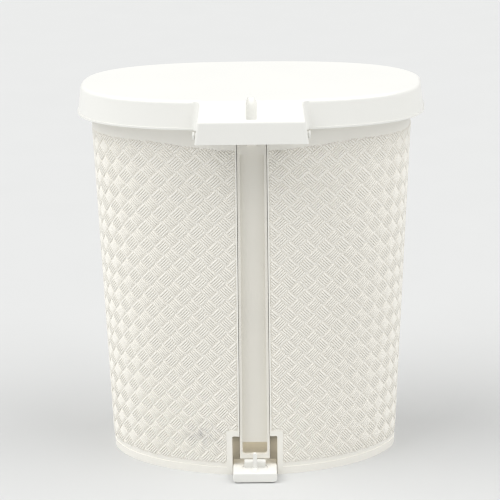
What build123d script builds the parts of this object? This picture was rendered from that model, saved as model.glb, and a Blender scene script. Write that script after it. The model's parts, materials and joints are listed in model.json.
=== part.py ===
"""Oval household pedal bin: outer shell on a raised floor, hinged lid with a rear hood,
lift rod in a rear channel, under-floor pedal lever, and a lift-out inner bucket with a bail.

Frame: millimetres, +Z up, origin on the ground under the middle of the bounding box.
The hinge, the rear hood and the lift rod are at -Y. The foot pedal is at +Y.
"""
import math
import os

from build123d import *

# ---------------------------------------------------------------- driving dimensions
# Ovals are (half width along X, half depth along Y, squareness); squareness 2 is an ellipse.
LID_SKIRT_OVAL = (155.0, 108.0, 2.5)
LID_TOP_OVAL = (151.4, 104.4, 2.5)
BODY_BASE_OVAL = (131.3, 84.3, 1.9)
BODY_RIM_OVAL = (143.6, 96.6, 2.5)
OVAL_POINTS = 24

# Heights above the ground
FLOOR_UNDER_Z = 41.0
FLOOR_TOP_Z = 44.0
SKIRT_Z = 320.7
RIM_FLANGE_Z = 328.0
RIM_Z = 336.0
LID_TOP_Z = 345.0

# Outer shell
WALL = 2.4
RELIEF = 0.6
BASE_BAND_HEIGHT = 7.0
RIM_FLANGE_REACH = 4.6
CHANNEL_DEPTH = 9.0
CHANNEL_HALF_BASE = 13.75
CHANNEL_HALF_TOP = 12.85
CHANNEL_LIP = 1.3
CUTOUT_HALF = 20.2
REAR_CUTOUT_Z = 37.6
FRONT_CUTOUT_Z = 40.0
CUTOUT_BORDER = 5.2

# Lid
LID_WALL = 2.4
LID_EDGE_RADIUS = 3.0
HOOD_EDGE_RADIUS = 2.2
SKIRT_BEAD = 0.6
SKIRT_BEAD_HEIGHT = 1.6
HOOD_BOTTOM_Z = 314.4
HOOD_Y = -136.0
HOOD_FRONT_TOP = (-135.3, 333.0)
HOOD_SLOPE_START = (-104.4, LID_TOP_Z)
HOOD_HALF = 47.0
HOOD_SIDE_DRAFT = 0.134
HOOD_BLEND_RADIUS = 6.0
SLOT_HALF = 4.6
SLOT_NECK_HALF = 2.8
SLOT_DEPTH = 8.0
SLOT_LENGTH = (-132.3, -108.0)
SLOT_NECK_END = -86.5

# Lid hinge and rod contact
HINGE = (-120.0, 319.0)
HINGE_PIN_RADIUS = 2.5
RUNNING_CLEARANCE = 0.06
NUB_RADIUS = 3.4
NUB_LENGTH = 1.6
EAR_INNER = 38.0
EAR_OUTER = 42.6
EAR_RADIUS = 4.4
CRANK_RADIUS = 17.5
CRANK_START_DEG = -30.0
CROSS_PIN_RADIUS = 2.3
CROSS_PIN_HALF = 8.4
CAM_GAP = 0.7
CAM_INNER = 4.7
CAM_OUTER = 7.6

# Lift rod, measured along the sloping channel
ROD_HALF_BASE = 13.4
ROD_HALF_TOP = 12.5
ROD_FACE = 0.3
ROD_DEPTH = 7.2
ROD_SKIN = 2.0
ROD_FLANGE = 2.3
ROD_BOTTOM = 16.0
ROD_CROSSBAR_TOP = 20.2
ROD_WEB_END = 29.7
ROD_HEAD_BOTTOM = 297.2
ROD_TOP = 314.0
HOOK_HALF = 4.0
HOOK_BOTTOM = 307.3

# Pedal lever
PIVOT = (20.0, 22.0)
AXLE_RADIUS = 3.0
AXLE_HALF = 25.0
HUB_RADIUS = 6.2
ARM_HALF = 13.0
ARM_SKIN = 2.4
PADDLE_HALF = 19.6
PADDLE_Y = (-104.0, -71.0)
PADDLE_Z = (0.5, 9.8)
PEDAL_HALF = 34.0
PEDAL_Y = (100.0, 136.0)
PEDAL_Z = (26.5, 36.0)
POST_HALF = 1.8
POST_Y = (-93.4, -90.0)
POST_TOP = 24.2
SEAT_HALF = 9.5
SEAT_Y = (-88.0, -80.0)
SEAT_TOP = 15.2

# Axle keepers and their screws
LUG_INNER = 15.2
LUG_OUTER = 23.0
LUG_HALF_DEPTH = 20.0
LUG_BOTTOM_Z = 18.0
KEEPER_THICKNESS = 2.6
SCREW_OFFSET = 14.0
SCREW_RADIUS = 1.4
SCREW_LENGTH = 14.0
SCREW_HEAD_RADIUS = 3.0
SCREW_HEAD_HEIGHT = 2.0
SCREW_CLEARANCE = 0.05

# Inner bucket and bail
BUCKET_BASE_OVAL = (124.0, 70.0, 2.0)
BUCKET_RIM_OVAL = (135.0, 80.0, 2.5)
BUCKET_WALL = 1.6
BUCKET_RIM_Z = 326.0
BUCKET_FLANGE = 3.0
BAIL_RADIUS = 1.9
BAIL_Z = 331.6
BAIL_EAR_X = (132.2, 134.8)
BAIL_EAR_HALF = 6.0
GRIP_RADIUS = 5.0
GRIP_HALF = 40.0


# ---------------------------------------------------------------- shared helpers
def oval_radius(angle, half_width, half_depth, squareness):
    """Polar reach of an oval at an angle from +X."""
    across = abs(math.cos(angle) / half_width) ** squareness
    along = abs(math.sin(angle) / half_depth) ** squareness
    return (across + along) ** (-1.0 / squareness)


def oval_face(reach, z):
    """Flat face at height z whose outline has the polar reach given by reach(angle)."""
    points = []
    for step in range(OVAL_POINTS):
        angle = 2.0 * math.pi * step / OVAL_POINTS
        points.append((reach(angle) * math.cos(angle), reach(angle) * math.sin(angle), z))
    return make_face(Spline(*points, periodic=True))


def grown(oval, amount):
    """The oval made larger by amount all round (smaller when negative)."""
    return (oval[0] + amount, oval[1] + amount, oval[2])


def tapered(low_oval, high_oval, low_z, high_z):
    """Solid between two ovals."""
    low = oval_face(lambda angle: oval_radius(angle, *low_oval), low_z)
    high = oval_face(lambda angle: oval_radius(angle, *high_oval), high_z)
    return loft([low, high])


def body_solid(low_z, high_z, growth=0.0):
    """Solid between two heights whose side runs parallel to the outer shell's wall."""
    def face_at(z):
        share = z / RIM_Z

        def reach(angle):
            base = oval_radius(angle, *grown(BODY_BASE_OVAL, growth))
            rim = oval_radius(angle, *grown(BODY_RIM_OVAL, growth))
            return base + (rim - base) * share
        return oval_face(reach, z)
    return loft([face_at(low_z), face_at(high_z)])


def block(x, y, z):
    """Box from three (low, high) pairs."""
    size = (x[1] - x[0], y[1] - y[0], z[1] - z[0])
    return Pos(x[0], y[0], z[0]) * Box(*size, align=(Align.MIN, Align.MIN, Align.MIN))


def side_prism(profile, x):
    """Profile of (y, z) points pushed along X between x[0] and x[1]."""
    face = make_face(Polyline(*[(x[0], y, z) for y, z in profile], close=True))
    return extrude(face, amount=x[1] - x[0], dir=(1, 0, 0))


def rear_prism(profile, y):
    """Profile of (x, z) points pushed along Y between y[0] and y[1]."""
    face = make_face(Polyline(*[(x, y[0], z) for x, z in profile], close=True))
    return extrude(face, amount=y[1] - y[0], dir=(0, 1, 0))


def rod_along_x(radius, x, y, z):
    """Cylinder along X from x[0] to x[1] through (y, z)."""
    middle = (x[0] + x[1]) / 2.0
    return Pos(middle, y, z) * Rot(0, 90, 0) * Cylinder(radius, x[1] - x[0])


def both_sides(shape):
    """The shape and its mirror image across the middle plane."""
    return shape + mirror(shape, about=Plane.YZ)


# The rear wall leans out. Parts of the channel and rod are drawn upright, with y = 0 on the
# wall's face and y growing into the bin, then leaned over by this placement.
WALL_LEAN = math.degrees(math.atan((BODY_RIM_OVAL[1] - BODY_BASE_OVAL[1]) / RIM_Z))
CHANNEL_PLACE = Pos(0, -BODY_BASE_OVAL[1], 0) * Rot(WALL_LEAN, 0, 0)

crank = math.radians(CRANK_START_DEG)
CROSS_PIN = (HINGE[0] + CRANK_RADIUS * math.cos(crank), HINGE[1] + CRANK_RADIUS * math.sin(crank))


# ---------------------------------------------------------------- outer shell
def cutout_border(height, side):
    """Smooth raised border round a cut-out in the base of the wall; side is -1 rear, +1 front."""
    reach = (0.0, 200.0) if side > 0 else (-200.0, 0.0)
    half = CUTOUT_HALF + CUTOUT_BORDER
    window = block((-half, half), reach, (0.0, height + CUTOUT_BORDER))
    return (body_solid(0.0, height + CUTOUT_BORDER, RELIEF) & window) - body_solid(
        -1.0, height + CUTOUT_BORDER + 1.0, -WALL / 2.0)


def cutout(height, side):
    """Opening through the base of the wall, with small top corner radii."""
    reach = (60.0, 100.0) if side > 0 else (-100.0, -60.0)
    opening = block((-CUTOUT_HALF, CUTOUT_HALF), reach, (-2.0, height))
    return fillet(opening.edges().filter_by(Axis.Y).group_by(Axis.Z)[-1], 1.5)


def channel_groove():
    half_at_top = CHANNEL_HALF_TOP
    profile = [(-CHANNEL_HALF_BASE, 30.0), (CHANNEL_HALF_BASE, 30.0),
               (half_at_top, 350.0), (-half_at_top, 350.0)]
    return CHANNEL_PLACE * rear_prism(profile, (-20.0, CHANNEL_DEPTH))


def channel_housing():
    half = CHANNEL_HALF_BASE + WALL
    half_at_top = CHANNEL_HALF_TOP + WALL
    profile = [(-half, 38.0), (half, 38.0), (half_at_top, RIM_Z), (-half_at_top, RIM_Z)]
    return CHANNEL_PLACE * rear_prism(profile, (WALL / 2.0, CHANNEL_DEPTH + WALL))


def channel_lips():
    low = CHANNEL_HALF_BASE + CHANNEL_LIP
    high = CHANNEL_HALF_TOP + CHANNEL_LIP
    profile = [(-low, REAR_CUTOUT_Z + 2.0), (low, REAR_CUTOUT_Z + 2.0), (high, 322.0), (-high, 322.0)]
    return CHANNEL_PLACE * rear_prism(profile, (-RELIEF, WALL / 2.0))


def hinge_ears():
    """Two ears that carry the lid's hinge pins outboard of the rim."""
    y, z = HINGE
    web = side_prism([(y, z - EAR_RADIUS), (-95.0, z - 7.0), (-95.0, z + 12.0), (y, z + EAR_RADIUS)],
                     (EAR_INNER, EAR_OUTER))
    knuckle = rod_along_x(EAR_RADIUS, (EAR_INNER, EAR_OUTER), y, z)
    bore = rod_along_x(HINGE_PIN_RADIUS, (EAR_INNER - 1.0, EAR_OUTER + 1.0), y, z)
    return both_sides(web + knuckle - bore)


def pivot_lugs():
    """Bearing lugs and screw bosses under the floor for the lever's axle."""
    y, z = PIVOT
    low = LUG_BOTTOM_Z
    lug = block((LUG_INNER, LUG_OUTER), (y - 7.0, y + 7.0), (low, FLOOR_UNDER_Z + 1.0))
    saddle = block((LUG_INNER - 1.0, LUG_OUTER + 1.0), (y - AXLE_RADIUS, y + AXLE_RADIUS), (low - 1.0, z))
    crown = rod_along_x(AXLE_RADIUS, (LUG_INNER - 1.0, LUG_OUTER + 1.0), y, z)
    lug = lug - saddle - crown
    middle = (LUG_INNER + LUG_OUTER) / 2.0
    for offset in (-SCREW_OFFSET, SCREW_OFFSET):
        height = FLOOR_UNDER_Z + 1.0 - low
        boss = Pos(middle, y + offset, low + height / 2.0) * Cylinder(3.9, height)
        depth = SCREW_LENGTH
        pilot = Pos(middle, y + offset, low + depth / 2.0) * Cylinder(SCREW_RADIUS + SCREW_CLEARANCE, depth)
        lug = lug + boss - pilot
    return both_sides(lug)


def make_body_shell():
    shell = body_solid(0.0, RIM_Z)
    shell += body_solid(0.0, BASE_BAND_HEIGHT, RELIEF)
    flange_ring = grown(BODY_RIM_OVAL, RIM_FLANGE_REACH)
    shell += tapered(flange_ring, flange_ring, RIM_FLANGE_Z, RIM_Z)
    shell -= body_solid(FLOOR_TOP_Z, RIM_Z + 1.0, -WALL)
    shell -= body_solid(-1.0, FLOOR_UNDER_Z, -WALL)
    shell += cutout_border(REAR_CUTOUT_Z, -1)
    shell += cutout_border(FRONT_CUTOUT_Z, 1)
    shell += channel_lips()
    shell += channel_housing()
    shell += hinge_ears()
    shell += pivot_lugs()
    shell -= channel_groove()
    shell -= cutout(REAR_CUTOUT_Z, -1)
    shell -= cutout(FRONT_CUTOUT_Z, 1)
    shell -= block((-200.0, 200.0), (-200.0, 200.0), (RIM_Z, RIM_Z + 10.0))
    return shell


# ---------------------------------------------------------------- lid
def hood_half(z, inset=0.0):
    return HOOD_HALF - HOOD_SIDE_DRAFT * (z - HOOD_BOTTOM_Z) - inset


def hood_block(inset, bottom_z, back_y):
    """Hood with sloping top and drafted sides; inset shrinks it to the inside shape."""
    top_z = LID_TOP_Z - inset
    profile = [(back_y, bottom_z), (HOOD_Y + inset, bottom_z),
               (HOOD_FRONT_TOP[0] + inset, HOOD_FRONT_TOP[1] - inset),
               (HOOD_SLOPE_START[0] + inset / 2.0, top_z), (back_y, top_z)]
    wide = side_prism(profile, (-HOOD_HALF - 1.0, HOOD_HALF + 1.0))
    low = hood_half(bottom_z, inset)
    high = hood_half(LID_TOP_Z + 1.0, inset)
    sides = rear_prism([(-low, bottom_z), (low, bottom_z), (high, LID_TOP_Z + 1.0), (-high, LID_TOP_Z + 1.0)],
                       (HOOD_Y - 1.0, back_y))
    return wide & sides


def slope_z(y):
    """Height of the hood's sloping top at y."""
    rise = (HOOD_SLOPE_START[1] - HOOD_FRONT_TOP[1]) / (HOOD_SLOPE_START[0] - HOOD_FRONT_TOP[0])
    return min(LID_TOP_Z, HOOD_FRONT_TOP[1] + rise * (y - HOOD_FRONT_TOP[0]))


def slot_boss():
    """Extra thickness below the hood's top that the slot is sunk into."""
    low_y, high_y = SLOT_LENGTH
    drop = SLOT_DEPTH + LID_WALL
    profile = [(low_y - 1.5, slope_z(low_y) - drop), (high_y, slope_z(high_y) - drop),
               (SLOT_NECK_END + 2.0, LID_TOP_Z - LID_WALL - 0.5), (SLOT_NECK_END + 2.0, LID_TOP_Z - 1.0),
               (HOOD_SLOPE_START[0], LID_TOP_Z - 1.0), (low_y - 1.5, slope_z(low_y - 1.5) - 1.0)]
    return side_prism(profile, (-CAM_OUTER, CAM_OUTER))


def slot_cut():
    """Slot in the hood's top: its floor ramps down, steps up near the outer end, and its sides widen."""
    low_y, high_y = SLOT_LENGTH
    step_y = low_y + 8.0
    raised = 1.6
    depths = side_prism(
        [(low_y, slope_z(low_y) - SLOT_DEPTH + raised), (step_y, slope_z(step_y) - SLOT_DEPTH + raised),
         (step_y, slope_z(step_y) - SLOT_DEPTH), (high_y, slope_z(high_y) - SLOT_DEPTH),
         (SLOT_NECK_END, LID_TOP_Z - 0.4), (SLOT_NECK_END, LID_TOP_Z + 5.0), (low_y, LID_TOP_Z + 5.0)],
        (-SLOT_HALF, SLOT_HALF))
    outline = make_face(Polyline(
        (-SLOT_HALF, low_y, 0.0), (SLOT_HALF, low_y, 0.0), (SLOT_HALF, high_y, 0.0),
        (SLOT_NECK_HALF, SLOT_NECK_END, 0.0), (-SLOT_NECK_HALF, SLOT_NECK_END, 0.0),
        (-SLOT_HALF, high_y, 0.0), close=True))
    plan = Pos(0, 0, SKIRT_Z) * extrude(outline, amount=LID_TOP_Z, dir=(0, 0, 1))
    plan = fillet(plan.edges().filter_by(Axis.Z).group_by(Axis.Y)[0], 2.2)
    return depths & plan


def slot_window():
    """Small square hole through the slot's floor, above the rod's hook."""
    low_y = SLOT_LENGTH[0] + 2.6
    return block((-2.6, 2.6), (low_y, low_y + 5.0), (SKIRT_Z, LID_TOP_Z))


def cam_ribs():
    """Two ribs whose lower edge is radial to the hinge; the rod's cross pin lifts them."""
    outward = (math.cos(crank), math.sin(crank))
    upward = (-math.sin(crank), math.cos(crank))
    gap = CROSS_PIN_RADIUS + CAM_GAP

    def edge_point(distance):
        return (HINGE[0] + distance * outward[0] + gap * upward[0],
                HINGE[1] + distance * outward[1] + gap * upward[1])
    near = edge_point(10.0)
    far = edge_point(22.0)
    profile = [near, far, (far[0], slope_z(far[0]) - 1.2), (near[0], slope_z(near[0]) - 1.2)]
    return both_sides(side_prism(profile, (CAM_INNER, CAM_OUTER)))


def hood_outer_edges(edge):
    """Edges of the hood's block that stay in view once it is joined to the lid."""
    middle = edge.center()
    inner_ridge = abs(middle.X) < 1.0 and middle.Y > -110.0
    return middle.Y < -90.0 and middle.Z > HOOD_BOTTOM_Z + 1.0 and not inner_ridge


def lid_cover():
    """Outside shape of the lid and hood, before hollowing."""
    cover = tapered(grown(LID_SKIRT_OVAL, -SKIRT_BEAD), LID_TOP_OVAL, SKIRT_Z, LID_TOP_Z)
    cover = fillet(cover.faces().sort_by(Axis.Z)[-1].edges(), LID_EDGE_RADIUS)
    hood = hood_block(0.0, HOOD_BOTTOM_Z, -80.0)
    hood = fillet(hood.edges().filter_by(hood_outer_edges), HOOD_EDGE_RADIUS)
    return cover + hood


def hood_blend(z):
    """Plan of the concave blend between the hood's side and the skirt at height z, on the +X side."""
    share = (z - SKIRT_Z) / (LID_TOP_Z - SKIRT_Z)
    half_width = LID_SKIRT_OVAL[0] - SKIRT_BEAD + (LID_TOP_OVAL[0] - LID_SKIRT_OVAL[0] + SKIRT_BEAD) * share
    half_depth = LID_SKIRT_OVAL[1] - SKIRT_BEAD + (LID_TOP_OVAL[1] - LID_SKIRT_OVAL[1] + SKIRT_BEAD) * share
    squareness = LID_SKIRT_OVAL[2]

    def skirt_y(x):
        return -half_depth * (1.0 - (x / half_width) ** squareness) ** (1.0 / squareness)
    side = hood_half(z)
    radius = HOOD_BLEND_RADIUS
    slope = (skirt_y(side + radius + 1.0) - skirt_y(side + radius - 1.0)) / 2.0
    lean = math.atan(slope)
    touch = (side + radius * (1.0 - math.sin(lean)), skirt_y(side + radius * (1.0 - math.sin(lean))))
    middle = (side + radius, touch[1] - radius * math.cos(lean))
    knee = math.radians(45.0)
    arc = ThreePointArc(
        (side, middle[1], z),
        (middle[0] - radius * math.cos(knee), middle[1] + radius * math.sin(knee), z),
        (touch[0], touch[1], z))
    back = Polyline((touch[0], touch[1], z), (touch[0], touch[1] + 1.6, z), (side - 1.6, touch[1] + 1.6, z),
                    (side - 1.6, middle[1], z), (side, middle[1], z))
    return make_face(arc + back)


def hood_blends():
    blend = loft([hood_blend(SKIRT_Z), hood_blend(LID_TOP_Z)])
    drop = 1.0
    under = side_prism([(-80.0, SKIRT_Z), (HOOD_Y, SKIRT_Z), (HOOD_FRONT_TOP[0], HOOD_FRONT_TOP[1] - drop),
                        (HOOD_SLOPE_START[0], LID_TOP_Z - drop), (-80.0, LID_TOP_Z - drop)], (0.0, 80.0))
    return both_sides(blend & under)


def make_lid():
    lid = lid_cover() + hood_blends()
    lid += tapered(LID_SKIRT_OVAL, LID_SKIRT_OVAL, SKIRT_Z, SKIRT_Z + SKIRT_BEAD_HEIGHT)
    lid -= tapered(grown(LID_SKIRT_OVAL, -LID_WALL), grown(LID_TOP_OVAL, -LID_WALL),
                   SKIRT_Z - 0.01, LID_TOP_Z - LID_WALL)
    lid -= hood_block(LID_WALL, HOOD_BOTTOM_Z - 1.0, -95.0)
    lid -= block((-HOOD_HALF - 2.0, HOOD_HALF + 2.0), (-104.0, -60.0), (HOOD_BOTTOM_Z - 1.0, SKIRT_Z))
    lid += slot_boss()
    lid += cam_ribs()
    lid -= slot_cut()
    lid -= slot_window()
    y, z = HINGE
    lid -= rod_along_x(HINGE_PIN_RADIUS + RUNNING_CLEARANCE, (-60.0, 60.0), y, z)
    return lid


def make_hinge_pin(side):
    y, z = HINGE
    shank_end = HOOD_HALF + 0.3
    shank = rod_along_x(HINGE_PIN_RADIUS, (EAR_INNER - 1.5, shank_end), y, z)
    nub = rod_along_x(NUB_RADIUS, (shank_end, shank_end + NUB_LENGTH), y, z)
    nub = fillet(nub.edges().group_by(Axis.X)[-1], 0.7)
    pin = shank + nub
    return pin if side > 0 else mirror(pin, about=Plane.YZ)


# ---------------------------------------------------------------- lift rod
def rod_half(z):
    share = (z - ROD_BOTTOM) / (ROD_TOP - ROD_BOTTOM)
    return ROD_HALF_BASE + (ROD_HALF_TOP - ROD_HALF_BASE) * share


def rod_prism(low, high, inset, y):
    profile = [(-rod_half(low) + inset, low), (rod_half(low) - inset, low),
               (rod_half(high) - inset, high), (-rod_half(high) + inset, high)]
    return rear_prism(profile, y)


def make_lift_rod():
    back = ROD_FACE + ROD_DEPTH
    rod = rod_prism(ROD_BOTTOM, ROD_TOP, 0.0, (ROD_FACE, back))
    rod = fillet(rod.edges().filter_by(Axis.Y).group_by(Axis.Z)[-1], 2.0)
    recess = rod_prism(ROD_WEB_END, ROD_HEAD_BOTTOM, ROD_FLANGE, (ROD_FACE - 1.0, back - ROD_SKIN))
    window = rod_prism(ROD_CROSSBAR_TOP, ROD_WEB_END, ROD_FLANGE, (ROD_FACE - 1.0, back + 1.0))
    window = fillet(window.edges().filter_by(Axis.Y).group_by(Axis.Z)[0], 2.6)
    foot_gap = rod_prism(ROD_BOTTOM - 1.0, ROD_CROSSBAR_TOP + 3.0, ROD_FLANGE, (ROD_FACE + 3.6, back + 1.0))
    rod = CHANNEL_PLACE * (rod - recess - window - foot_gap)
    y, z = CROSS_PIN
    hook = side_prism([(y, HOOK_BOTTOM), (-91.0, HOOK_BOTTOM - 4.0), (-91.0, ROD_TOP - 0.6), (y, z + 3.4)],
                      (-HOOK_HALF, HOOK_HALF))
    tip = rod_along_x(3.4, (-HOOK_HALF, HOOK_HALF), y, z)
    cross_pin = rod_along_x(CROSS_PIN_RADIUS, (-CROSS_PIN_HALF, CROSS_PIN_HALF), y, z)
    return rod + hook + tip + cross_pin


# ---------------------------------------------------------------- pedal lever
def make_paddle():
    low_y, high_y = PADDLE_Y
    low_z, high_z = PADDLE_Z
    paddle = block((-PADDLE_HALF, PADDLE_HALF), PADDLE_Y, PADDLE_Z)
    paddle = fillet(paddle.edges().filter_by(Axis.Y).group_by(Axis.Z)[0], 3.6)
    paddle = fillet(paddle.edges().filter_by(Axis.Z).group_by(Axis.Y)[0], 1.8)
    top_rim = paddle.faces().sort_by(Axis.Z)[-1].edges()
    paddle = fillet(top_rim.filter_by(lambda e: e.center().Y < high_y - 1.0), 1.3)
    thin = 2.2
    hollow = block((-PADDLE_HALF + thin, PADDLE_HALF - thin), (low_y + thin, high_y + 1.0), (low_z - 1.0, high_z - thin))
    dish = Pos(0, -90.6, high_z) * Cylinder(11.4, 1.4)
    dish -= block((-20.0, 20.0), (-84.0, -60.0), (0.0, 20.0))
    dimples = both_sides(Pos(5.8, -87.8, high_z) * Cylinder(3.3, 2.6))
    paddle = paddle - hollow - dish - dimples
    rib = block((-POST_HALF, POST_HALF), (-102.0, POST_Y[1]), (high_z - 2.0, high_z + 0.4))
    post = side_prism([(POST_Y[0], high_z - 2.0), (POST_Y[1], high_z - 2.0), (POST_Y[1], POST_TOP),
                       (POST_Y[0], POST_TOP)], (-POST_HALF, POST_HALF))
    post = fillet(post.edges().filter_by(Axis.Y).group_by(Axis.Z)[-1], 1.5)
    seat = block((-SEAT_HALF, SEAT_HALF), SEAT_Y, (high_z - 2.0, SEAT_TOP))
    seat = fillet(seat.edges().filter_by(Axis.X).group_by(Axis.Z)[-1], 2.4)
    return paddle + rib + post + seat


def make_arm():
    """Inverted channel from the paddle over the axle to the foot pedal."""
    y, z = PIVOT
    pedal_join = PEDAL_Y[0] + 2.0
    top = [(-76.0, 9.8), (-40.0, 13.5), (y - 8.0, z + 6.2), (y + 8.0, z + 7.0), (pedal_join, 35.4)]
    bottom = [(pedal_join, 27.5), (y + 8.0, z - 3.5), (y - 8.0, z - 6.0), (-40.0, 4.0), (-76.0, 1.0)]
    beam = side_prism(top + bottom, (-ARM_HALF, ARM_HALF))
    under_top = [(py, pz - ARM_SKIN) for py, pz in top]
    under_bottom = [(py, pz - 12.0) for py, pz in bottom]
    hollow = side_prism(under_top + under_bottom, (-ARM_HALF + ARM_SKIN, ARM_HALF - ARM_SKIN))
    hub = rod_along_x(HUB_RADIUS, (-ARM_HALF - 1.5, ARM_HALF + 1.5), y, z)
    bore = rod_along_x(AXLE_RADIUS + RUNNING_CLEARANCE, (-30.0, 30.0), y, z)
    return beam - hollow + hub - bore


def make_foot_pedal():
    tread = block((-PEDAL_HALF, PEDAL_HALF), PEDAL_Y, PEDAL_Z)
    tread = fillet(tread.edges().filter_by(Axis.Z), 8.0)
    tread = fillet(tread.faces().sort_by(Axis.Z)[-1].edges(), 1.6)
    skin = 2.6
    hollow = block((-PEDAL_HALF + skin, PEDAL_HALF - skin), (PEDAL_Y[0] + skin, PEDAL_Y[1] - skin),
                   (PEDAL_Z[0] - 1.0, PEDAL_Z[1] - skin - 1.0))
    hollow = fillet(hollow.edges().filter_by(Axis.Z), 6.0)
    return tread - hollow - pad_outline(PEDAL_Z[1] - 1.0, PEDAL_Z[1] + 1.0, 0.0)


def pad_outline(low_z, high_z, inset):
    pad = block((-28.0 + inset, 28.0 - inset), (105.0 + inset, 131.0 - inset), (low_z, high_z))
    return fillet(pad.edges().filter_by(Axis.Z), 4.0)


def make_pedal_lever():
    return make_paddle() + make_arm() + make_foot_pedal()


def make_pedal_pad():
    """Ribbed rubber tread seated in the pedal's shallow recess."""
    pad = pad_outline(PEDAL_Z[1] - 1.0, PEDAL_Z[1] + 1.2, 0.15)
    for row in range(6):
        y = 108.5 + 3.8 * row
        pad -= block((-24.0, 24.0), (y - 0.7, y + 0.7), (PEDAL_Z[1] + 0.4, PEDAL_Z[1] + 3.0))
    return pad


# ---------------------------------------------------------------- axle, keepers, screws
def make_pivot_axle():
    y, z = PIVOT
    axle = rod_along_x(AXLE_RADIUS, (-AXLE_HALF, AXLE_HALF), y, z)
    return chamfer(axle.edges().filter_by(GeomType.CIRCLE), 0.6)


def make_axle_keeper(side):
    y, z = PIVOT
    high = LUG_BOTTOM_Z
    low = high - KEEPER_THICKNESS
    plate = block((LUG_INNER, LUG_OUTER), (y - LUG_HALF_DEPTH + 1.0, y + LUG_HALF_DEPTH - 1.0), (low, high))
    plate = fillet(plate.edges().filter_by(Axis.Z), 3.0)
    prop = block((LUG_INNER + 0.3, LUG_OUTER - 0.3), (y - AXLE_RADIUS + 0.3, y + AXLE_RADIUS - 0.3), (high, z))
    keeper = plate + prop - rod_along_x(AXLE_RADIUS, (LUG_INNER - 1.0, LUG_OUTER + 1.0), y, z)
    middle = (LUG_INNER + LUG_OUTER) / 2.0
    for offset in (-SCREW_OFFSET, SCREW_OFFSET):
        keeper -= Pos(middle, y + offset, high) * Cylinder(SCREW_RADIUS + 0.2, 10.0)
    return keeper if side > 0 else mirror(keeper, about=Plane.YZ)


def make_keeper_screws():
    """Four identical pan-head screws, one solid each."""
    screws = []
    middle = (LUG_INNER + LUG_OUTER) / 2.0
    seat_z = LUG_BOTTOM_Z - KEEPER_THICKNESS
    length = SCREW_LENGTH - 1.0
    for x in (-middle, middle):
        for offset in (-SCREW_OFFSET, SCREW_OFFSET):
            shank = Pos(0, 0, length / 2.0) * Cylinder(SCREW_RADIUS, length)
            head = Pos(0, 0, -SCREW_HEAD_HEIGHT / 2.0) * Cylinder(SCREW_HEAD_RADIUS, SCREW_HEAD_HEIGHT)
            head = fillet(head.edges().group_by(Axis.Z)[0], 0.8)
            drive = Box(3.4, 0.7, 2.0) + Box(0.7, 3.4, 2.0)
            screw = shank + head - Pos(0, 0, -SCREW_HEAD_HEIGHT) * drive
            screws.append(Pos(x, PIVOT[0] + offset, seat_z) * screw)
    return Compound(children=[part for screw in screws for part in screw.solids()])


# ---------------------------------------------------------------- inner bucket and bail
def make_inner_bucket():
    outer = tapered(BUCKET_BASE_OVAL, BUCKET_RIM_OVAL, FLOOR_TOP_Z, BUCKET_RIM_Z)
    flange = grown(BUCKET_RIM_OVAL, BUCKET_FLANGE)
    outer += tapered(flange, flange, BUCKET_RIM_Z - 6.0, BUCKET_RIM_Z)
    inner = tapered(grown(BUCKET_BASE_OVAL, -BUCKET_WALL), grown(BUCKET_RIM_OVAL, -BUCKET_WALL),
                    FLOOR_TOP_Z + BUCKET_WALL, BUCKET_RIM_Z + 0.01)
    under_flange = tapered(grown(BUCKET_RIM_OVAL, BUCKET_FLANGE - BUCKET_WALL),
                           grown(BUCKET_RIM_OVAL, BUCKET_FLANGE - BUCKET_WALL),
                           BUCKET_RIM_Z - 6.01, BUCKET_RIM_Z - BUCKET_WALL)
    under_flange -= tapered(BUCKET_RIM_OVAL, BUCKET_RIM_OVAL, BUCKET_RIM_Z - 7.0, BUCKET_RIM_Z)
    bucket = outer - inner - under_flange
    ear = block(BAIL_EAR_X, (-BAIL_EAR_HALF, BAIL_EAR_HALF), (BUCKET_RIM_Z - 5.0, BAIL_Z + 4.4))
    ear = fillet(ear.edges().filter_by(Axis.X).group_by(Axis.Z)[-1], 4.0)
    ear -= rod_along_x(BAIL_RADIUS + 0.15, (120.0, 140.0), 0.0, BAIL_Z)
    return bucket + both_sides(ear)


def make_bucket_handle():
    """Wire bail folded forward over the bucket's rim, its ends through the two ears."""
    corners = [(137.5, 0), (129.0, 0), (128.0, 30.0), (103.0, 60.0), (GRIP_HALF + 6.0, 79.0)]
    route = corners + [(-x, y) for x, y in reversed(corners)]
    radii = [4.0, 14.0, 24.0, 20.0, 20.0, 24.0, 14.0, 4.0]
    path = FilletPolyline(*[(x, y, BAIL_Z) for x, y in route], radius=radii)
    section = Plane(origin=path @ 0, z_dir=path % 0) * Circle(BAIL_RADIUS)
    return sweep(section, path=path)


def make_handle_grip():
    grip = rod_along_x(GRIP_RADIUS, (-GRIP_HALF, GRIP_HALF), 79.0, BAIL_Z)
    for row in range(9):
        x = -GRIP_HALF + 8.0 * (row + 1)
        ring = rod_along_x(GRIP_RADIUS + 1.0, (x - 1.0, x + 1.0), 79.0, BAIL_Z)
        grip -= ring - rod_along_x(GRIP_RADIUS - 0.6, (x - 2.0, x + 2.0), 79.0, BAIL_Z)
    grip -= rod_along_x(BAIL_RADIUS, (-GRIP_HALF - 1.0, GRIP_HALF + 1.0), 79.0, BAIL_Z)
    return grip


PARTS = {
    "body_shell": make_body_shell,
    "lid": make_lid,
    "hinge_pin_left": lambda: make_hinge_pin(-1),
    "hinge_pin_right": lambda: make_hinge_pin(1),
    "lift_rod": make_lift_rod,
    "pedal_lever": make_pedal_lever,
    "pedal_pad": make_pedal_pad,
    "pivot_axle": make_pivot_axle,
    "axle_keeper_left": lambda: make_axle_keeper(-1),
    "axle_keeper_right": lambda: make_axle_keeper(1),
    "keeper_screws": make_keeper_screws,
    "inner_bucket": make_inner_bucket,
    "bucket_handle": make_bucket_handle,
    "handle_grip": make_handle_grip,
}

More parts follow.
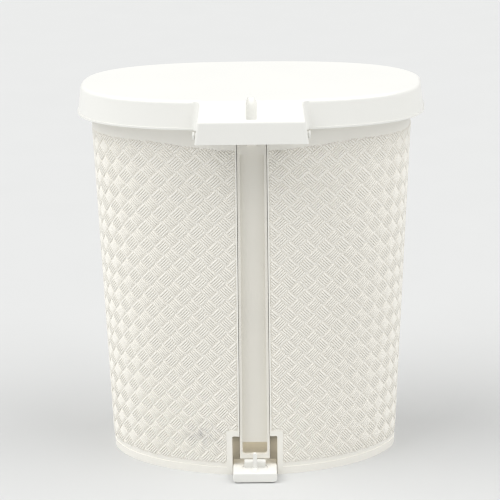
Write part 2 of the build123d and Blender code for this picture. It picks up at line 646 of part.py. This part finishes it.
os.makedirs("parts", exist_ok=True)
for node, make in PARTS.items():
    export_step(make(), f"parts/{node}.step")
    print("wrote", node)
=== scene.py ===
"""Looks of the oval pedal bin: woven relief, procedural plastics and metals, studio and camera."""
import json
import math

import bpy
import numpy as np
from mathutils import Matrix, Vector


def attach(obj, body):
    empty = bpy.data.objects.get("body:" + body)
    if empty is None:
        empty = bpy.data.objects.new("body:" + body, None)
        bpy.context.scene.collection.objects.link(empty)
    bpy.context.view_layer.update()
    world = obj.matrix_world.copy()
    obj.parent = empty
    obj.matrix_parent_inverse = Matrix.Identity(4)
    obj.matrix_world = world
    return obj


MM = 0.001

# ---------------------------------------------------------------- camera (metres, degrees)
CAMERA_PLACE = (-0.0002, -1.457, 0.5944)
CAMERA_PITCH_DOWN = 15.63
CAMERA_ROLL = -0.65
CAMERA_YAW = 0.09
CAMERA_LENS = 118.4
CAMERA_SENSOR = 36.0

# ---------------------------------------------------------------- shell wall (millimetres)
WALL_BASE = (131.3, 84.3, 1.9)
WALL_RIM = (143.6, 96.6, 2.5)
WALL_HEIGHT = 336.0
PROBE_LOW = 60.0
PROBE_HIGH = 300.0
PROBE_COUNT = 361
PROBE_CLEAR = 18.0
PROBE_START = 2.0 * WALL_RIM[0]
GIRTH_SAMPLES = 2001
SLOPE_STEP = 0.002
MOULDED = {}

# ---------------------------------------------------------------- weave (millimetres)
CELL_ACROSS = 15.5
CELL_UP = 15.2
RIBS_PER_CELL = 5
RIB_HEIGHT = 1.2
RIB_ROOT = -0.45
RIB_HALF = 1.03
RIB_PACK = 0.91
RIB_OVERRUN = 0.6
RIB_SQUARENESS = 3.0
RIB_STEPS = 8
RIB_SIDES = 5
CLIP_SAMPLES = 33
CLIP_LEAST = 4
RIB_FULL_SHARE = 0.6
RIB_LEAST_RISE = 0.4
WEAVE_PIECES = 8
WEAVE_BOTTOM = 10.8
WEAVE_TOP_MIDDLE = 301.0
WEAVE_TOP_SIDE = 307.5
WEAVE_TOP_MIDDLE_X = 25.0
WEAVE_TOP_SIDE_X = 85.0
CHANNEL_EDGE_BASE = 15.4
CHANNEL_EDGE_TOP = 14.3
CUTOUT_EDGE = 25.3
REAR_CUTOUT_TOP = 43.2
FRONT_CUTOUT_TOP = 45.6

# ---------------------------------------------------------------- colours (linear) and light
SHELL_WHITE = (0.92, 0.90, 0.84)
LID_WHITE = (0.86, 0.857, 0.82)
# painted shade for the weave's grooves: its colour, and the rib height (0 to 1) above which no shade is
# painted
GROOVE_SHADE_TONE = (0.84, 0.805, 0.73)
GROOVE_SHADE_TOP = 0.8
MOTTLE_SCALE = 9.0
MOTTLE_DETAIL = 5.0
MOTTLE_DARK_AT = 0.3
MOTTLE_LIGHT_AT = 0.7
ROUGHNESS_LOW = 0.85
ROUGHNESS_HIGH = 1.2
GRAIN_SCALE = 700.0
GRAIN_DETAIL = 2.0
GRAIN_DEPTH = 0.0004
SCUFF_PLACE = (-0.047, -0.085, 0.036)
SCUFF_REACH = (0.024, 0.03, 0.018)
SCUFF_TONE = (0.45, 0.45, 0.46)
SCUFF_STRENGTH = 0.8
SCUFF_GRAIN = 160.0
SCUFF_DETAIL = 6.0
SCUFF_BREAK_FROM = 0.42
SCUFF_BREAK_TO = 0.7
CREAM = (0.86, 0.835, 0.765)
PALE_GREY = (0.55, 0.56, 0.56)
RUBBER_GREY = (0.2, 0.2, 0.2)
STEEL = (0.56, 0.57, 0.58)
FLOOR_TONE = (0.63, 0.635, 0.632)
WORLD_TONE = (1.0, 1.0, 0.995)
WORLD_STRENGTH = 0.6
SUN_LEFT_FROM = (-0.8, -0.26, 1.05)
SUN_RIGHT_FROM = (0.8, -0.26, 1.05)
SUN_LEFT = 1.7
SUN_RIGHT = 1.25
SUN_SPREAD = 50.0
FILL_TONE = (1.0, 0.88, 0.68)
FILL_POWER = 0.045
FILL_WIDTH = 0.16
FILL_DEPTH = 0.06
FILL_PLACE = (0.0, -0.02, 0.0405)
FILL_TARGET = (0.0, -0.05, 0.0)
FLOOR_REACH = 30.0
PIXEL_FILTER = 1.2


# ---------------------------------------------------------------- materials
def surface(name, tone, roughness, metallic=0.0, relief=0.03, mottle=0.05):
    """Procedural finish: slow colour mottle, uneven roughness and a fine grain."""
    material = bpy.data.materials.new(name)
    material.use_nodes = True
    nodes = material.node_tree.nodes
    links = material.node_tree.links
    shader = nodes["Principled BSDF"]
    shader.inputs["Metallic"].default_value = metallic
    place = nodes.new("ShaderNodeTexCoord")

    slow = nodes.new("ShaderNodeTexNoise")
    slow.inputs["Scale"].default_value = MOTTLE_SCALE
    slow.inputs["Detail"].default_value = MOTTLE_DETAIL
    links.new(place.outputs["Object"], slow.inputs["Vector"])
    ramp = nodes.new("ShaderNodeValToRGB")
    ramp.color_ramp.elements[0].position = MOTTLE_DARK_AT
    ramp.color_ramp.elements[0].color = tuple(c * (1.0 - mottle) for c in tone) + (1.0,)
    ramp.color_ramp.elements[1].position = MOTTLE_LIGHT_AT
    ramp.color_ramp.elements[1].color = tone + (1.0,)
    links.new(slow.outputs["Fac"], ramp.inputs["Fac"])
    links.new(ramp.outputs["Color"], shader.inputs["Base Color"])

    uneven = nodes.new("ShaderNodeMapRange")
    uneven.inputs["To Min"].default_value = roughness * ROUGHNESS_LOW
    uneven.inputs["To Max"].default_value = min(1.0, roughness * ROUGHNESS_HIGH)
    links.new(slow.outputs["Fac"], uneven.inputs["Value"])
    links.new(uneven.outputs["Result"], shader.inputs["Roughness"])

    fine = nodes.new("ShaderNodeTexNoise")
    fine.inputs["Scale"].default_value = GRAIN_SCALE
    fine.inputs["Detail"].default_value = GRAIN_DETAIL
    links.new(place.outputs["Object"], fine.inputs["Vector"])
    bump = nodes.new("ShaderNodeBump")
    bump.inputs["Strength"].default_value = relief
    bump.inputs["Distance"].default_value = GRAIN_DEPTH
    links.new(fine.outputs["Fac"], bump.inputs["Height"])
    links.new(bump.outputs["Normal"], shader.inputs["Normal"])
    return material


def add_smudge(material, middle, reach, strength, tone):
    """Soft grey scuff around a point of the object, broken up by noise."""
    nodes = material.node_tree.nodes
    links = material.node_tree.links
    shader = nodes["Principled BSDF"]
    clean = shader.inputs["Base Color"].links[0].from_socket
    place = nodes.new("ShaderNodeTexCoord")
    around = nodes.new("ShaderNodeMapping")
    around.vector_type = "TEXTURE"
    around.inputs["Location"].default_value = middle
    around.inputs["Scale"].default_value = reach
    links.new(place.outputs["Object"], around.inputs["Vector"])
    ball = nodes.new("ShaderNodeTexGradient")
    ball.gradient_type = "SPHERICAL"
    links.new(around.outputs["Vector"], ball.inputs["Vector"])
    broken = nodes.new("ShaderNodeTexNoise")
    broken.inputs["Scale"].default_value = SCUFF_GRAIN
    broken.inputs["Detail"].default_value = SCUFF_DETAIL
    links.new(place.outputs["Object"], broken.inputs["Vector"])
    cut = nodes.new("ShaderNodeMapRange")
    cut.inputs["From Min"].default_value = SCUFF_BREAK_FROM
    cut.inputs["From Max"].default_value = SCUFF_BREAK_TO
    links.new(broken.outputs["Fac"], cut.inputs["Value"])
    product = nodes.new("ShaderNodeMath")
    product.operation = "MULTIPLY"
    links.new(ball.outputs["Fac"], product.inputs[0])
    links.new(cut.outputs["Result"], product.inputs[1])
    amount = nodes.new("ShaderNodeMath")
    amount.operation = "MULTIPLY"
    amount.use_clamp = True
    amount.inputs[1].default_value = strength
    links.new(product.outputs["Value"], amount.inputs[0])
    mix = nodes.new("ShaderNodeMix")
    mix.data_type = "RGBA"
    links.new(amount.outputs["Value"], mix.inputs["Factor"])
    links.new(clean, mix.inputs["A"])
    mix.inputs["B"].default_value = tone + (1.0,)
    links.new(mix.outputs["Result"], shader.inputs["Base Color"])


def add_painted_groove_shade(material, tone):
    """Painted shade: a warmer, darker colour low in the weave's grooves stands in for the shade and warm
    bounced light there; read from each rib's own height.
    """
    nodes = material.node_tree.nodes
    links = material.node_tree.links
    shader = nodes["Principled BSDF"]
    plain = shader.inputs["Base Color"].links[0].from_socket
    height = nodes.new("ShaderNodeAttribute")
    height.attribute_name = "rib_height"
    level = nodes.new("ShaderNodeMapRange")
    level.inputs["From Max"].default_value = GROOVE_SHADE_TOP
    links.new(height.outputs["Fac"], level.inputs["Value"])
    mix = nodes.new("ShaderNodeMix")
    mix.data_type = "RGBA"
    mix.inputs["A"].default_value = tone + (1.0,)
    links.new(level.outputs["Result"], mix.inputs["Factor"])
    links.new(plain, mix.inputs["B"])
    links.new(mix.outputs["Result"], shader.inputs["Base Color"])


def shell_finish(name):
    """The shell's plastic with its scuff; the smooth shell and the weave each get their own copy."""
    finish = surface(name, SHELL_WHITE, roughness=0.42, relief=0.02, mottle=0.02)
    add_smudge(finish, SCUFF_PLACE, SCUFF_REACH, SCUFF_STRENGTH, SCUFF_TONE)
    return finish


def paint(obj, material):
    """Gives an object one material in place of any it had."""
    obj.data.materials.clear()
    obj.data.materials.append(material)


# ---------------------------------------------------------------- wall surface
def oval_radius(angle, oval):
    """Reach of a squared oval (half width, half depth, squareness) at an angle."""
    half_width, half_depth, squareness = oval
    across = np.abs(np.cos(angle) / half_width) ** squareness
    along = np.abs(np.sin(angle) / half_depth) ** squareness
    return (across + along) ** (-1.0 / squareness)


def wall_radius(angle, height):
    """Reach of the wall; MOULDED adds how far the CAD shell stands from the plain oval."""
    base = oval_radius(angle, WALL_BASE)
    rim = oval_radius(angle, WALL_RIM)
    share = height / WALL_HEIGHT
    plain = base + (rim - base) * share
    if not MOULDED:
        return plain
    low = np.interp(angle, MOULDED["angle"], MOULDED["low"])
    high = np.interp(angle, MOULDED["angle"], MOULDED["high"])
    return plain + low + (high - low) * (height - PROBE_LOW) / (PROBE_HIGH - PROBE_LOW)


def probe_shell(shell):
    """Measures the CAD shell's outside at two heights by rays from the outside towards the middle."""
    angles = np.linspace(-math.pi / 2.0, math.pi / 2.0, PROBE_COUNT)
    found = {"angle": angles}
    away = shell.matrix_world.inverted()
    for key, height in (("low", PROBE_LOW), ("high", PROBE_HIGH)):
        plain = wall_radius(angles, height)
        offsets = np.zeros(PROBE_COUNT)
        for number, angle in enumerate(angles):
            outward = Vector((math.cos(angle), math.sin(angle), 0.0))
            start = (outward * PROBE_START + Vector((0.0, 0.0, height))) * MM
            local_start = away @ start
            local_way = (away @ (start - outward) - local_start).normalized()
            hit, point, _, _ = shell.ray_cast(local_start, local_way)
            if hit:
                world = shell.matrix_world @ point
                offsets[number] = math.hypot(world.x, world.y) / MM - plain[number]
        near_channel = (np.abs(plain * np.cos(angles)) < PROBE_CLEAR) & (angles < 0.0)
        offsets[near_channel] = offsets[~near_channel][0]
        found[key] = offsets
    return found


def girth_table():
    """Arc length round the wall at half height, from the middle of the rear, against angle."""
    angle = np.linspace(0.0, math.pi, GIRTH_SAMPLES)
    turned = angle - math.pi / 2.0
    radius = wall_radius(turned, WALL_HEIGHT / 2.0)
    x = radius * np.cos(turned)
    y = radius * np.sin(turned)
    steps = np.hypot(np.diff(x), np.diff(y))
    return np.concatenate([[0.0], np.cumsum(steps)]), turned


GIRTH, TURN = girth_table()
HALF_GIRTH = float(GIRTH[-1])


def wall_point(along, height, proud):
    """Points on the right half of the wall; along is the arc length from the rear middle."""
    angle = np.interp(along, GIRTH, TURN)
    radius = wall_radius(angle, height)
    before = wall_radius(angle - SLOPE_STEP, height)
    after = wall_radius(angle + SLOPE_STEP, height)
    slope = (after - before) / (2.0 * SLOPE_STEP)
    normal_x = radius * np.cos(angle) + slope * np.sin(angle)
    normal_y = radius * np.sin(angle) - slope * np.cos(angle)
    size = np.hypot(normal_x, normal_y)
    x = radius * np.cos(angle) + proud * normal_x / size
    y = radius * np.sin(angle) + proud * normal_y / size
    return np.stack([x, y, np.broadcast_to(height, x.shape)], axis=-1)


def in_weave(along, height):
    """True where the wall is woven: inside the bands, the channel lips and the cut-out borders."""
    angle = np.interp(along, GIRTH, TURN)
    x = np.abs(wall_radius(angle, height) * np.cos(angle))
    rear = angle < 0.0
    share = np.clip((x - WEAVE_TOP_MIDDLE_X) / (WEAVE_TOP_SIDE_X - WEAVE_TOP_MIDDLE_X), 0.0, 1.0)
    top = np.where(rear, WEAVE_TOP_MIDDLE + (WEAVE_TOP_SIDE - WEAVE_TOP_MIDDLE) * share, WEAVE_TOP_SIDE)
    channel = CHANNEL_EDGE_BASE + (CHANNEL_EDGE_TOP - CHANNEL_EDGE_BASE) * height / WALL_HEIGHT
    cutout_top = np.where(rear, REAR_CUTOUT_TOP, FRONT_CUTOUT_TOP)
    banded = (height > WEAVE_BOTTOM) & (height < top) & (along >= 0.0) & (along <= HALF_GIRTH)
    off_channel = (x > channel) | ~rear
    off_cutout = (x > CUTOUT_EDGE) | (height > cutout_top)
    return banded & off_channel & off_cutout


# ---------------------------------------------------------------- weave
def weave_ribs():
    """Middle (along, height) and lean (+1 up to the right) of every rib on the right half."""
    ribs = []
    columns = int(HALF_GIRTH / (CELL_ACROSS / 2.0)) + 2
    rows = int(WEAVE_TOP_SIDE / (CELL_UP / 2.0)) + 2
    for row in range(rows):
        for column in range(-1, columns):
            if (row + column) % 2:
                continue
            lean = 1.0 if row % 2 else -1.0
            for number in range(RIBS_PER_CELL):
                offset = ((number + 0.5) / RIBS_PER_CELL - 0.5) * RIB_PACK
                along = (column + offset) * CELL_ACROSS / 2.0
                height = (row - lean * offset) * CELL_UP / 2.0
                ribs.append((along, height, lean))
    return np.array(ribs)


def rib_grids(ribs):
    """Vertex grids of the ribs, clipped to the woven area, and each vertex's height from 0 to 1."""
    # where each rib enters and leaves the woven area; ribs outside it are dropped
    cell_side = math.hypot(CELL_ACROSS, CELL_UP) / 2.0
    half = 0.5 + RIB_OVERRUN / cell_side
    share = np.linspace(-half, half, CLIP_SAMPLES)
    along = ribs[:, 0:1] + share * CELL_ACROSS / 2.0
    height = ribs[:, 1:2] + share * ribs[:, 2:3] * CELL_UP / 2.0
    inside = in_weave(along, height)
    kept = inside.sum(axis=1) >= CLIP_LEAST
    ribs, inside = ribs[kept], inside[kept]
    low = share[np.argmax(inside, axis=1)]
    high = share[CLIP_SAMPLES - 1 - np.argmax(inside[:, ::-1], axis=1)]

    # height of the rib's crest along its length; shorter ribs rise less
    steps = np.linspace(0.0, 1.0, RIB_STEPS + 1)
    run = low[:, None] + (high - low)[:, None] * steps
    middle = (low + high)[:, None] / 2.0
    reach = np.maximum((high - low)[:, None] / 2.0, 0.5 * share[-1] / RIBS_PER_CELL)
    dip = np.abs((run - middle) / reach) ** RIB_SQUARENESS
    shortness = np.clip(reach / (RIB_FULL_SHARE * half), RIB_LEAST_RISE, 1.0)
    arch = RIB_ROOT + (RIB_HEIGHT * shortness - RIB_ROOT) * np.sqrt(np.clip(1.0 - dip, 0.0, 1.0))

    # half-round section swept along the rib's diagonal
    turn = np.linspace(0.0, math.pi, RIB_SIDES + 1)
    side = RIB_HALF * np.cos(turn)
    swell = np.sin(turn)
    shape = (len(ribs), RIB_STEPS + 1, RIB_SIDES + 1)
    lean = ribs[:, 2][:, None, None]
    middle_along = ribs[:, 0][:, None, None] + run[:, :, None] * CELL_ACROSS / 2.0
    middle_height = ribs[:, 1][:, None, None] + run[:, :, None] * lean * CELL_UP / 2.0
    diagonal = math.sqrt(0.5)
    grid_along = np.broadcast_to(middle_along - lean * diagonal * side, shape)
    grid_height = np.broadcast_to(middle_height + diagonal * side, shape)
    proud = RIB_ROOT + (arch[:, :, None] - RIB_ROOT) * swell
    return wall_point(grid_along, grid_height, proud), np.clip(proud / RIB_HEIGHT, 0.0, 1.0)


def rib_mesh(name, grids, levels):
    """One mesh from many rib grids; levels is each vertex's height above the wall, 0 to 1."""
    count, rows, columns, _ = grids.shape
    index = np.arange(count * rows * columns).reshape(count, rows, columns)
    quads = np.stack([index[:, :-1, :-1], index[:, 1:, :-1], index[:, 1:, 1:], index[:, :-1, 1:]], axis=-1)
    mesh = bpy.data.meshes.new(name)
    mesh.from_pydata((grids.reshape(-1, 3) * MM).tolist(), [], quads.reshape(-1, 4).tolist())
    mesh.polygons.foreach_set("use_smooth", [True] * len(mesh.polygons))
    layer = mesh.attributes.new("rib_height", "FLOAT", "POINT")
    layer.data.foreach_set("value", levels.reshape(-1).astype(np.float32))
    mesh.update()
    obj = bpy.data.objects.new(name, mesh)
    bpy.context.collection.objects.link(obj)
    return obj


def make_weave(material):
    """All ribs in a few pieces from bottom to top; the left half mirrors the right."""
    right, levels = rib_grids(weave_ribs())
    order = np.argsort(right[:, 0, 0, 2], kind="stable")
    right = right[order]
    levels = levels[order]
    left = right[:, :, ::-1].copy()
    left[..., 0] *= -1.0
    for side, grids, heights in (("right", right, levels), ("left", left, levels[:, :, ::-1])):
        shares = np.array_split(np.arange(len(grids)), WEAVE_PIECES // 2)
        for number, share in enumerate(shares):
            piece = rib_mesh(f"weave_{side}_{number + 1}", grids[share], heights[share])
            paint(piece, material)
            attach(piece, "bin")


# ---------------------------------------------------------------- studio
def aim(obj, place, target):
    """Puts a lamp at a place, shining at a target."""
    obj.location = place
    away = Vector(place) - Vector(target)
    obj.rotation_euler = away.to_track_quat("Z", "Y").to_euler()


def add_sun(name, towards, strength, spread):
    """Far soft lamp shining from a direction; spread is its apparent width in degrees."""
    light = bpy.data.lights.new(name, "SUN")
    light.energy = strength
    light.angle = math.radians(spread)
    lamp = bpy.data.objects.new(name, light)
    bpy.context.collection.objects.link(lamp)
    aim(lamp, towards, (0.0, 0.0, 0.0))


def add_fill():
    """Weak warm lamp under the bin's raised floor; it brightens the cut-outs."""
    light = bpy.data.lights.new("under_floor_fill", "AREA")
    light.shape = "RECTANGLE"
    light.size = FILL_WIDTH
    light.size_y = FILL_DEPTH
    light.energy = FILL_POWER
    light.color = FILL_TONE
    lamp = bpy.data.objects.new("under_floor_fill", light)
    bpy.context.collection.objects.link(lamp)
    aim(lamp, FILL_PLACE, FILL_TARGET)


def make_floor():
    """Wide flat floor of the studio."""
    mesh = bpy.data.meshes.new("floor")
    corners = [
        (-FLOOR_REACH, -FLOOR_REACH, 0),
        (FLOOR_REACH, -FLOOR_REACH, 0),
        (FLOOR_REACH, FLOOR_REACH, 0),
        (-FLOOR_REACH, FLOOR_REACH, 0),
    ]
    mesh.from_pydata(corners, [], [(0, 1, 2, 3)])
    floor = bpy.data.objects.new("floor", mesh)
    bpy.context.collection.objects.link(floor)
    paint(floor, surface("floor_paper", FLOOR_TONE, roughness=0.8, mottle=0.01, relief=0.0))


def make_studio():
    """Even sky, two soft suns, the low fill and the picture settings."""
    world = bpy.data.worlds.new("studio")
    bpy.context.scene.world = world
    world.use_nodes = True
    background = world.node_tree.nodes["Background"]
    background.inputs["Color"].default_value = WORLD_TONE + (1.0,)
    background.inputs["Strength"].default_value = WORLD_STRENGTH
    add_sun("left", SUN_LEFT_FROM, SUN_LEFT, SUN_SPREAD)
    add_sun("right", SUN_RIGHT_FROM, SUN_RIGHT, SUN_SPREAD)
    add_fill()
    scene = bpy.context.scene
    scene.view_settings.view_transform = "Standard"
    scene.cycles.denoising_prefilter = "NONE"
    scene.cycles.filter_width = PIXEL_FILTER


def make_camera():
    """Camera of the photo, by place, yaw, pitch and roll."""
    camera = bpy.data.cameras.new("camera")
    camera.lens = CAMERA_LENS
    camera.sensor_width = CAMERA_SENSOR
    holder = bpy.data.objects.new("camera", camera)
    bpy.context.collection.objects.link(holder)
    pitch = Matrix.Rotation(math.radians(90.0 - CAMERA_PITCH_DOWN), 4, "X")
    roll = Matrix.Rotation(math.radians(CAMERA_ROLL), 4, "Z")
    yaw = Matrix.Rotation(math.radians(CAMERA_YAW), 4, "Z")
    holder.matrix_world = Matrix.Translation(CAMERA_PLACE) @ yaw @ pitch @ roll
    bpy.context.scene.camera = holder


# ---------------------------------------------------------------- put together
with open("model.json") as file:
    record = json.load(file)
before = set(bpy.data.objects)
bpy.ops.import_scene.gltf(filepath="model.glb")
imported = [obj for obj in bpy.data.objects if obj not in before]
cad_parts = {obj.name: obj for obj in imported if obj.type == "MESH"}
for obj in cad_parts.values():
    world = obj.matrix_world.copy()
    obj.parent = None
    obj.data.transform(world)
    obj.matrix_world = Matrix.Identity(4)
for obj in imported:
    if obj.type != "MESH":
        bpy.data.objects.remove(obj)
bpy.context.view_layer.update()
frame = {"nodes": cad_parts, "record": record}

MATERIALS = {
    "shell_plastic": shell_finish("shell_plastic"),
    "lid_plastic": surface("lid_plastic", LID_WHITE, roughness=0.32, relief=0.01, mottle=0.015),
    "pin_plastic": surface("pin_plastic", LID_WHITE, roughness=0.35),
    "rod_plastic": surface("rod_plastic", CREAM, roughness=0.4, mottle=0.08),
    "lever_plastic": surface("lever_plastic", LID_WHITE, roughness=0.42, mottle=0.06),
    "tread_rubber": surface("tread_rubber", RUBBER_GREY, roughness=0.7, relief=0.15),
    "axle_steel": surface("axle_steel", STEEL, roughness=0.3, metallic=1.0),
    "keeper_plastic": surface("keeper_plastic", CREAM, roughness=0.45),
    "screw_steel": surface("screw_steel", STEEL, roughness=0.35, metallic=1.0),
    "bucket_plastic": surface("bucket_plastic", PALE_GREY, roughness=0.4),
    "bail_steel": surface("bail_steel", STEEL, roughness=0.22, metallic=1.0),
    "grip_plastic": surface("grip_plastic", LID_WHITE, roughness=0.4),
}
for entry in frame["record"]["subparts"]:
    paint(frame["nodes"][entry["node"]], MATERIALS[entry["material_slot"]])

MOULDED.update(probe_shell(frame["nodes"]["body_shell"]))
# the weave's material gets painted shade in its grooves, darker and warmer where the ribs are low
weave_plastic_painted_shade = shell_finish("weave_plastic_painted_shade")
add_painted_groove_shade(weave_plastic_painted_shade, GROOVE_SHADE_TONE)
make_weave(weave_plastic_painted_shade)
make_floor()
make_studio()
make_camera()
